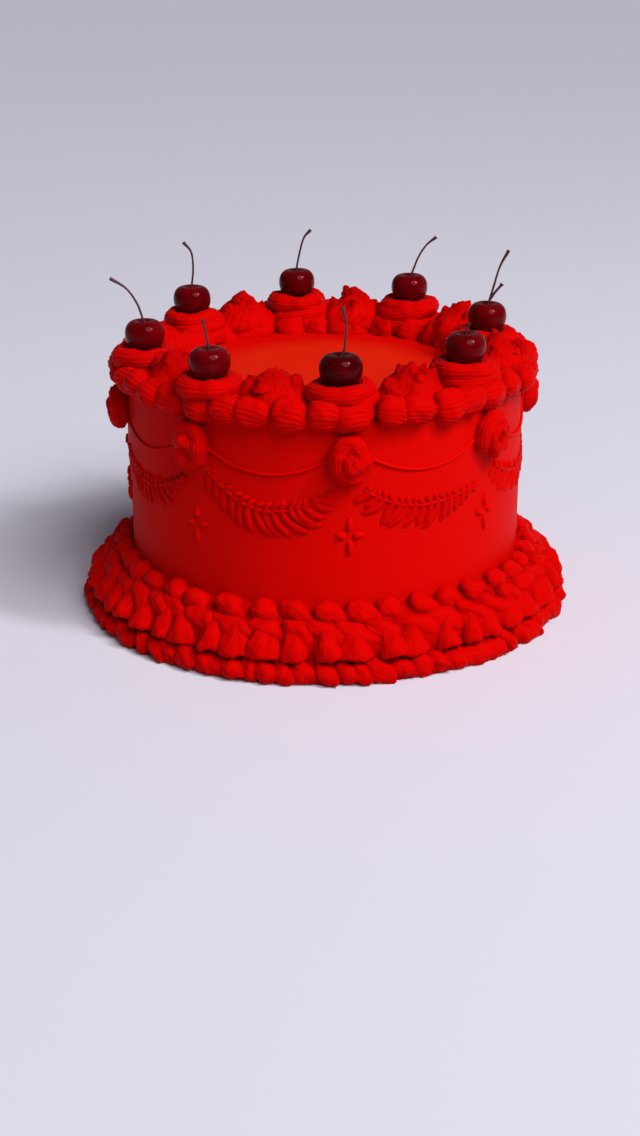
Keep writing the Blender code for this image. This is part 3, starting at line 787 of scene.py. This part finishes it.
class CAKE_OT_rosettes(bpy.types.Operator):
    """Coil the rosettes that the cherries sit on"""

    bl_idname = "cake.rosettes"
    bl_label = "Rosettes"

    def execute(self, context):
        sizes = context.scene.cake_top
        chance = random.Random(5)
        for number, node in enumerate(nodes_named("rosette")):
            cherry = box_middle(f"cherry_{number}")
            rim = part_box(f"cherry_{number}")[0].z + sizes.seat - sizes.rope
            start = chance.uniform(0.0, FULL_TURN)
            wide = chance.uniform(0.98, 1.03)
            low = TOP_HEIGHT + 0.0046
            heights = ((0.0, low), (0.30, low + 0.0006), (0.46, (low + rim) / 2.0), (0.62, rim - 0.0004),
                       (0.88, rim), (1.0, rim - 0.0020))
            route = []
            for share in shares(120):
                angle = start + FULL_TURN * sizes.turns * share
                reach = wide * ramp(share, *ROSETTE_REACH)
                width = sizes.rope * ramp(share, *ROSETTE_WIDTH)
                inward = 1.0 - ramp(share, *ROSETTE_INWARD)
                point = Vector((cherry.x * inward, cherry.y * inward, ramp(share, *heights)))
                point += Vector((reach * math.cos(angle), reach * math.sin(angle), 0.0))
                route.append((point, width * chance.uniform(0.985, 1.015), 0.0))
            rosette = pipe(
                f"coiled_rosette_{number}", [route], "piped", Teeth=sizes.teeth, Groove=sizes.groove,
                Sides=4 * sizes.teeth, Unevenness=0.0026, Grain=110.0, Seed=40 + number)
            settle(rosette, "piped", node)
        return {"FINISHED"}


# How far a swirl's foot stands from the cake's axis, and how far its top leans out
SWIRL_DISTANCE = 0.0862
SWIRL_LEAN = 0.0030
# A swirl's body: share of its height and of its radius
SWIRL_BODY = (
    (0.00, 0.90), (0.12, 1.00), (0.32, 0.98), (0.50, 0.84), (0.64, 0.66), (0.76, 0.48), (0.86, 0.32),
    (0.94, 0.17), (1.00, 0.02))
# Its shoulder on each side: share of its height, distance from its middle and radius
SWIRL_SHOULDER = (
    (0.00, 0.0080, 0.0088), (0.20, 0.0086, 0.0102), (0.38, 0.0092, 0.0096), (0.52, 0.0100, 0.0072),
    (0.63, 0.0108, 0.0044), (0.72, 0.0116, 0.0022), (0.80, 0.0124, THIN))
# A small torn tip: how far up and out from its root, radius and turn
SWIRL_TIP = (
    (0.0, 0.0, 0.0032, 0.0), (0.0022, 0.0004, 0.0024, 0.2), (0.0038, 0.0010, 0.0013, 0.3),
    (0.0050, 0.0018, THIN, 0.4))
SWIRL_TIPS = 7


class CAKE_OT_swirls(bpy.types.Operator):
    """Pipe the pointed swirls between the rosettes"""

    bl_idname = "cake.swirls"
    bl_label = "Pointed swirls"

    def execute(self, context):
        sizes = context.scene.cake_top
        chance = random.Random(9)
        for number, node in enumerate(nodes_named("swirl")):
            azimuth = azimuth_of(box_middle(node))
            foot = round_the_axis(azimuth, SWIRL_DISTANCE, TOP_HEIGHT)
            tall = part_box(node)[1].z - TOP_HEIGHT
            lean = round_the_axis(azimuth, SWIRL_LEAN, 0.0)
            lean += Vector((chance.uniform(-0.002, 0.002), chance.uniform(-0.002, 0.002), 0.0))
            keys = []
            for share, size in SWIRL_BODY:
                place = foot + lean * share + raised(tall * share)
                keys.append((*place, sizes.swirl_radius * size, 0.7 * share + chance.uniform(-0.10, 0.10)))
            routes = [smooth_route(keys, 34)]
            tangent = round_the_axis(azimuth + math.pi / 2.0, 1.0, 0.0)
            for side in (-1.0, 1.0):
                high = tall * chance.uniform(0.82, 1.08)
                shoulder = []
                for share, aside, size in SWIRL_SHOULDER:
                    place = foot + tangent * side * aside + lean * share * 0.5 + raised(high * share)
                    shoulder.append((*place, size, side * share))
                routes.append(smooth_route(shoulder, 20))
            for _ in range(SWIRL_TIPS):
                away = chance.uniform(0.0036, 0.0100)
                beside = round_the_axis(chance.uniform(0.0, FULL_TURN), 1.0, 0.0)
                root = foot + lean * 0.7 + beside * away + raised(tall * (0.92 - 30.0 * away))
                long = chance.uniform(0.5, 1.0)
                tip = [(*(root + raised(up * long) + beside * out), size, turn)
                       for up, out, size, turn in SWIRL_TIP]
                routes.append(smooth_route(tip, 9))
            swirl = pipe(
                f"pointed_swirl_{number}", routes, "piped", Teeth=sizes.swirl_teeth, Groove=0.05,
                Sides=4 * sizes.swirl_teeth, Unevenness=0.0036, Grain=100.0, Seed=60 + number)
            settle(swirl, "piped", node)
        return {"FINISHED"}


# The rope of a wall rosette, in stops along it: the share of its full reach, its distance out from the wall
# and the share of its full radius
COIL_REACH = ((0.0, 1.0), (0.45, 0.94), (0.84, 0.36), (1.0, -0.12))
COIL_DEPTH = ((0.0, 0.0030), (0.5, 0.0046), (0.9, 0.0070), (1.0, 0.0076))
COIL_WIDTH = ((0.0, 0.3), (0.06, 1.0), (0.78, 0.96), (0.90, 0.75), (1.0, 0.10))
# How far the rope swings across and up, and how far the coil's middle sits above that of its box
COIL_ACROSS = 0.0056
COIL_UP = 0.0080
COIL_LIFT = 0.0010
# The core under the coil: distance out from the wall and radius
COIL_CORE = ((0.0010, 0.0056), (0.0040, 0.0058), (0.0066, 0.0052), (0.0084, 0.0038), (0.0092, THIN))


class CAKE_OT_wall_rosettes(bpy.types.Operator):
    """Coil the rosettes on the wall"""

    bl_idname = "cake.wall_rosettes"
    bl_label = "Wall rosettes"

    def execute(self, context):
        sizes = context.scene.cake_wall
        chance = random.Random(14)
        for number, node in enumerate(nodes_named("wall_rosette")):
            azimuth = azimuth_of(box_middle(node))
            height = box_middle(node).z + COIL_LIFT
            start = chance.uniform(0.0, FULL_TURN)
            route = []
            for share in shares(80):
                angle = start - FULL_TURN * sizes.turns * share
                reach = ramp(share, *COIL_REACH)
                across = COIL_ACROSS * reach * math.cos(angle)
                up = COIL_UP * reach * math.sin(angle)
                place = on_wall(azimuth, across, height + up, ramp(share, *COIL_DEPTH))
                route.append((place, sizes.rope * ramp(share, *COIL_WIDTH), 0.0))
            core = [(on_wall(azimuth, 0.0, height, depth), width, 0.0) for depth, width in COIL_CORE]
            rosette = pipe(
                f"coiled_wall_rosette_{number}", [route, core], "piped", Teeth=15, Groove=0.09, Sides=60,
                Unevenness=0.0024, Grain=130.0, Seed=80 + number)
            settle(rosette, "piped", node)
        return {"FINISHED"}


def wall_gaps():
    """Middle azimuth and half the distance along the wall, for each gap between wall rosettes."""
    azimuths = [azimuth_of(box_middle(node)) % FULL_TURN for node in nodes_named("wall_rosette")]
    gaps = []
    for first, second in zip(azimuths, azimuths[1:] + [azimuths[0] + FULL_TURN]):
        gaps.append(((first + second) / 2.0, WALL_RADIUS * (second - first) / 2.0))
    return gaps


def swag(half_span, end_heights, low_height, share):
    """Across, up, and the slope of a hanging curve at a share from its left end to its right one."""
    side = 2.0 * share - 1.0
    rise = end_heights[0 if side < 0.0 else 1] - low_height
    return half_span * side, low_height + rise * side ** 2, 2.0 * rise * side / half_span


# How much higher the left and the right end of two hand made garlands sit than the others' ends
UNEVEN_GARLAND_ENDS = {0: (0.0, -0.0060), 7: (0.0065, 0.0)}
# How far each garland's lobes lean along the wall, as a share of their length
GARLAND_LEANS = (-0.50, -0.35, 0.45, -0.50, 0.35, -0.40, 0.50, 0.80)
# About how far the longest lobes reach up and down from a garland's vein
LOBE_REACHES = (0.0044, -0.0122)
# The room that a garland and a string leave at each end
GARLAND_ROOM = 0.007
STRING_ROOM = 0.008


class CAKE_OT_garlands(bpy.types.Operator):
    """Press the leafy garlands along the wall"""

    bl_idname = "cake.garlands"
    bl_label = "Garlands"

    def execute(self, context):
        sizes = context.scene.cake_wall
        chance = random.Random(21)
        gaps = wall_gaps()
        for number, node in enumerate(nodes_named("garland")):
            azimuth, half_span = gaps[number]
            reach = half_span - GARLAND_ROOM
            ends = [sizes.garland_end + extra for extra in UNEVEN_GARLAND_ENDS.get(number, (0.0, 0.0))]
            leaf_ends = [end - 0.0008 for end in ends]
            vein = []
            leaf = []
            for share in shares(40):
                across, up, _ = swag(reach, ends, sizes.garland_low, share)
                vein.append((on_wall(azimuth, across, up, 0.0005), 0.6 * sizes.lobe, 0.0))
                across, up, _ = swag(reach, leaf_ends, sizes.garland_low - 0.0040, share)
                thick = 0.0088 * ramp(share, (0.0, 0.40), (0.30, 1.0), (0.60, 1.0), (1.0, 0.10))
                leaf.append((on_wall(azimuth, across, up, 0.0010 - thick), thick, 0.0))
            routes = [vein, leaf]
            count = round(2.0 * half_span / sizes.lobe_pitch)
            for lobe in range(count):
                share = (lobe + 0.5 + chance.uniform(-0.14, 0.14)) / count
                full = ramp(share, (0.0, 0.62), (0.30, 1.0), (0.60, 1.0), (1.0, 0.30))
                for far in LOBE_REACHES:
                    lean = GARLAND_LEANS[number] + chance.uniform(-0.35, 0.35)
                    stretch = chance.uniform(0.85, 1.08)
                    routes.append(self.lobe_route(azimuth, reach, ends, share, full * far, lean, stretch))
            garland = pipe(
                f"leafy_garland_{number}", routes, "piped", even=True, Teeth=5, Groove=0.08, Sides=10,
                Unevenness=0.0012, Grain=260.0, Seed=100 + number)
            settle(garland, "piped", node)
        return {"FINISHED"}

    def lobe_route(self, azimuth, reach, ends, share, far, lean, stretch):
        """One pressed lobe, from the garland's vein up or down the wall to its round end."""
        sizes = bpy.context.scene.cake_wall
        across, up, slope = swag(reach, ends, sizes.garland_low, share)
        length = math.hypot(1.0, slope)
        along = (1.0 / length, slope / length)
        thick = (1.1 if far > 0.0 else 1.8) * sizes.lobe
        route = []
        for part in (0.0, 0.30, 0.55, 0.75, 0.90, 1.0):
            out = far * stretch * part
            aside = lean * abs(far) * part ** 2
            rounded = math.sqrt(max(0.0, 1.0 - part ** 5))
            size = max(THIN, thick * (0.60 + 0.50 * part) * rounded)
            place = on_wall(azimuth, across - along[1] * out + along[0] * aside,
                            up + along[0] * out + along[1] * aside, sizes.lobe_relief * rounded - size)
            route.append((place, size, 0.0))
        return route


class CAKE_OT_strings(bpy.types.Operator):
    """Drop the thin strings between the wall rosettes"""

    bl_idname = "cake.strings"
    bl_label = "Drop strings"

    def execute(self, context):
        sizes = context.scene.cake_wall
        ends = [sizes.string_end] * 2
        routes = []
        for azimuth, half_span in wall_gaps():
            places = [swag(half_span - STRING_ROOM, ends, sizes.string_low, share) for share in shares(40)]
            routes.append([(on_wall(azimuth, across, up, 0.55 * sizes.string), sizes.string, 0.0)
                           for across, up, _ in places])
        strings = pipe(
            "drop_strings", routes, "smooth", Teeth=0, Groove=0.0, Sides=16, Unevenness=0.0001, Grain=120.0)
        settle(strings, "smooth", "cake")
        return {"FINISHED"}


# A flower's drops: across and up, distance of the near and the far end from its middle, and radius
DROPS = ((0.0, 1.0, 0.0028, 0.0086, 0.0017), (-1.0, 0.1, 0.0016, 0.0066, 0.0017),
         (1.0, 0.1, 0.0016, 0.0066, 0.0017), (0.0, -1.0, 0.0018, 0.0094, 0.0017))


class CAKE_OT_flowers(bpy.types.Operator):
    """Press the small four-drop flowers on the wall"""

    bl_idname = "cake.flowers"
    bl_label = "Small flowers"

    def execute(self, context):
        sizes = context.scene.cake_wall
        routes = []
        for node in nodes_named("wall_rosette"):
            azimuth = azimuth_of(box_middle(node))
            for across, up, near, far, width in DROPS:
                route = []
                for share in shares(12):
                    reach = near + (far - near) * share
                    place = on_wall(azimuth, across * reach, sizes.flower_height + up * reach, 0.0001)
                    swell = math.sin(math.pi * min(1.0, 0.05 + 0.9 * share ** 0.8))
                    route.append((place, width * math.sqrt(max(0.02, swell)), 0.0))
                routes.append(route)
        flowers = pipe(
            "small_flowers", routes, "smooth", Teeth=0, Groove=0.0, Sides=16, Unevenness=0.0002,
            Grain=300.0)
        settle(flowers, "smooth", "cake")
        return {"FINISHED"}


# How ripe, and so how dark, each cherry is
RIPENESS = (0.48, 0.15, 0.09, 0.14, 0.21, 0.10, 0.04, 0.02)


class CAKE_OT_cherries(bpy.types.Operator):
    """Set the cherries on their rosettes"""

    bl_idname = "cake.cherries"
    bl_label = "Cherries"

    def execute(self, context):
        chance = random.Random(33)
        for number, node in enumerate(nodes_named("cherry")):
            low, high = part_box(node)
            middle = (low + high) / 2.0
            width = ((high.x - low.x) + (high.y - low.y)) / 4.0
            tall = high.z - low.z
            profile = []
            # Fuller at the shoulders than a ball, a little narrower below, with a dimple at the stem
            for share in shares(36):
                angle = math.pi * share
                rise = -math.cos(angle)
                radius = width * max(0.0, math.sin(angle)) ** 0.76 * (1.0 - 0.05 * max(0.0, -rise))
                height = tall / 2.0 * math.copysign(abs(rise) ** 0.84, rise)
                if rise > 0.0:
                    height = 1.03 * height - 0.0026 * math.exp(-((radius / (0.40 * width)) ** 2))
                profile.append((radius, height))
            cherry = lathe(f"ripe_cherry_{number}", profile, 48, "cherry")
            seam = chance.uniform(0.0, FULL_TURN)
            for vertex in cherry.data.vertices:
                round_angle = math.atan2(vertex.co.y, vertex.co.x)
                away = abs((round_angle - seam + math.pi) % FULL_TURN - math.pi)
                groove = 1.0 - 0.035 * math.exp(-((away / 0.22) ** 2))
                oval = 1.0 + 0.018 * math.cos(2.0 * (round_angle - seam))
                vertex.co.x *= groove * oval
                vertex.co.y *= groove * oval
                vertex.co += middle
            ripe = [RIPENESS[number]] * len(cherry.data.vertices)
            cherry.data.attributes.new("ripeness", "FLOAT", "POINT").data.foreach_set("value", ripe)
            settle(cherry, "cherry", node)
        return {"FINISHED"}


# Stems in the view's plane: across and up in millimetres from a point 8.6 mm above each cherry's foot
STEM_ROUTES = (
    ((0.0, 5.0), (1.4, 7.8), (2.2, 15.1), (2.2, 21.9), (0.5, 28.2)),
    ((0.0, 5.0), (0.3, 7.4), (0.9, 9.4), (1.8, 11.0)),
    ((0.0, 5.0), (0.8, 7.2), (3.1, 15.3), (5.8, 24.8), (10.0, 32.8)),
    ((0.0, 5.0), (1.5, 7.7), (4.7, 15.8), (8.9, 22.2), (14.2, 26.5)),
    ((0.0, 5.0), (0.1, 7.8), (1.8, 16.0), (4.1, 23.7), (7.9, 28.0)),
    ((0.0, 5.0), (0.2, 7.5), (1.1, 15.9), (0.3, 24.4), (-3.7, 29.6)),
    ((0.0, 5.0), (-0.7, 7.2), (-3.2, 14.8), (-8.2, 22.1), (-15.7, 27.0)),
    ((0.0, 5.0), (-0.4, 7.5), (-1.3, 12.1), (-2.0, 16.3), (-2.6, 19.5)),
)
STEM_FORK = ((1.2, 8.0), (3.4, 11.2), (6.2, 14.6), (7.2, 15.8))
FORKED_STEM = 2
STEM_START = 0.0086
STEM_RADIUS = 0.00055
TWIG_RADIUS = 0.0007


class CAKE_OT_stems(bpy.types.Operator):
    """Bend the thin stems above the cherries"""

    bl_idname = "cake.stems"
    bl_label = "Stems"

    def execute(self, context):
        for number, node in enumerate(nodes_named("cherry_stem")):
            base = box_middle(f"cherry_{number}")
            base.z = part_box(f"cherry_{number}")[0].z + STEM_START
            routes = [self.stem_route(base, STEM_ROUTES[number], STEM_RADIUS)]
            if number == FORKED_STEM:
                routes.append(self.stem_route(base, STEM_FORK, TWIG_RADIUS))
            stem = pipe(
                f"dry_stem_{number}", routes, "stem", Teeth=5, Groove=0.10, Sides=15, Unevenness=0.0001,
                Grain=500.0, Seed=140 + number)
            settle(stem, "stem", node)
        return {"FINISHED"}

    def stem_route(self, base, places, thick):
        """A smooth bent stem that widens to a small knob at its end."""
        last = len(places) - 1
        keys = []
        for step, (across, up) in enumerate(places):
            size = 1.7 if step == last else 1.15 if step == 0 else 1.0
            keys.append((base.x + across / 1000.0, base.y, base.z + up / 1000.0, thick * size, 0.0))
        return smooth_route(keys, 9 * last)


class CAKE_OT_stage(bpy.types.Operator):
    """Lay the pale floor and set up the soft lights and the camera"""

    bl_idname = "cake.stage"
    bl_label = "Stage"

    def execute(self, context):
        look = context.scene.cake_stage
        self.lay_floor(tuple(look.floor))
        self.light_world(tuple(look.sky), look.fill_strength)
        daylight = self.hang_light(
            "daylight", "SUN", look.daylight, azimuth=37.0, elevation=47.0, distance=3.0)
        daylight.angle = look.spread
        window = self.hang_light(
            "window", "AREA", look.window_power, azimuth=58.0, elevation=49.0, distance=2.0)
        window.shape = "RECTANGLE"
        window.size = 0.22
        window.size_y = 0.50
        self.place_camera()
        context.scene.view_settings.view_transform = "Standard"
        return {"FINISHED"}

    def lay_floor(self, colour):
        """A wide pale matt floor."""
        half = 14.0
        mesh = bpy.data.meshes.new("floor")
        corners = [(-half, -half, 0.0), (half, -half, 0.0), (half, half, 0.0), (-half, half, 0.0)]
        mesh.from_pydata(corners, [], [(0, 1, 2, 3)])
        matt = bpy.data.materials.new("pale_matt_floor")
        matt.use_nodes = True
        inputs = matt.node_tree.nodes["Principled BSDF"].inputs
        inputs["Base Color"].default_value = (*colour, 1.0)
        inputs["Roughness"].default_value = 0.7
        inputs["Specular IOR Level"].default_value = 0.2
        mesh.materials.append(matt)
        new_object("floor", mesh)

    def light_world(self, colour, strength):
        """Even pale light from all round."""
        world = bpy.data.worlds.new("pale_room")
        world.use_nodes = True
        inputs = world.node_tree.nodes["Background"].inputs
        inputs["Color"].default_value = (*colour, 1.0)
        inputs["Strength"].default_value = strength
        bpy.context.scene.world = world

    def hang_light(self, name, kind, energy, azimuth, elevation, distance):
        """A light that faces the cake, from an azimuth and an elevation in degrees."""
        lamp = bpy.data.lights.new(name, kind)
        lamp.energy = energy
        holder = new_object(name, lamp)
        target = raised(0.07)
        level = distance * math.cos(math.radians(elevation))
        place = round_the_axis(math.radians(azimuth), level, distance * math.sin(math.radians(elevation)))
        holder.location = place
        holder.rotation_euler = (target - place).to_track_quat("-Z", "Y").to_euler()
        return lamp

    def place_camera(self):
        """The camera, looking down at the front of the cake as in the photograph."""
        pitch = math.radians(21.36)
        roll = math.radians(-0.35)
        distance, across, rise = 0.9057, -0.0026, 0.0101
        forward = Vector((0.0, math.cos(pitch), -math.sin(pitch)))
        up = Vector((0.0, math.sin(pitch), math.cos(pitch)))
        camera = new_object("camera", bpy.data.cameras.new("camera"))
        camera.data.lens = 53.87
        camera.data.sensor_width = 36.0
        camera.location = -forward * distance + Vector((across, 0.0, 0.0)) + up * rise
        turned = Matrix.Rotation(math.pi / 2.0 - pitch, 3, "X") @ Matrix.Rotation(roll, 3, "Z")
        camera.rotation_euler = turned.to_euler()
        bpy.context.scene.camera = camera


OPERATORS = (
    CAKE_OT_smooth_coat,
    CAKE_OT_top_border,
    CAKE_OT_foot_border,
    CAKE_OT_top_bed,
    CAKE_OT_rosettes,
    CAKE_OT_swirls,
    CAKE_OT_wall_rosettes,
    CAKE_OT_garlands,
    CAKE_OT_strings,
    CAKE_OT_flowers,
    CAKE_OT_cherries,
    CAKE_OT_stems,
    CAKE_OT_stage,
)
GROUPS = {
    "cake_finish": CreamFinish,
    "cake_borders": BorderSizes,
    "cake_top": TopSizes,
    "cake_wall": WallSizes,
    "cake_stage": StageLook,
}


class CAKE_PT_panel(bpy.types.Panel):
    """Lists the pieces of the cake and their sizes"""

    bl_label = "Birthday cake"
    bl_idname = "CAKE_PT_panel"
    bl_space_type = "VIEW_3D"
    bl_region_type = "UI"
    bl_category = "Cake"

    def draw(self, context):
        for operator in OPERATORS:
            self.layout.operator(operator.bl_idname)
        for label in GROUPS:
            group = getattr(context.scene, label)
            for name in group.bl_rna.properties.keys():
                if name not in ("rna_type", "name"):
                    self.layout.prop(group, name)


def register():
    """Registers the settings, the operators and the panel."""
    for label, group in GROUPS.items():
        bpy.utils.register_class(group)
        setattr(bpy.types.Scene, label, bpy.props.PointerProperty(type=group))
    for kind in (*OPERATORS, CAKE_PT_panel):
        bpy.utils.register_class(kind)


def unregister():
    """Takes away what register added."""
    for kind in (CAKE_PT_panel, *reversed(OPERATORS)):
        bpy.utils.unregister_class(kind)
    for label, group in GROUPS.items():
        delattr(bpy.types.Scene, label)
        bpy.utils.unregister_class(group)


def main():
    """Makes every piece in order."""
    register()
    for operator in OPERATORS:
        group, name = operator.bl_idname.split(".")
        getattr(getattr(bpy.ops, group), name)()


if __name__ == "__main__":
    main()
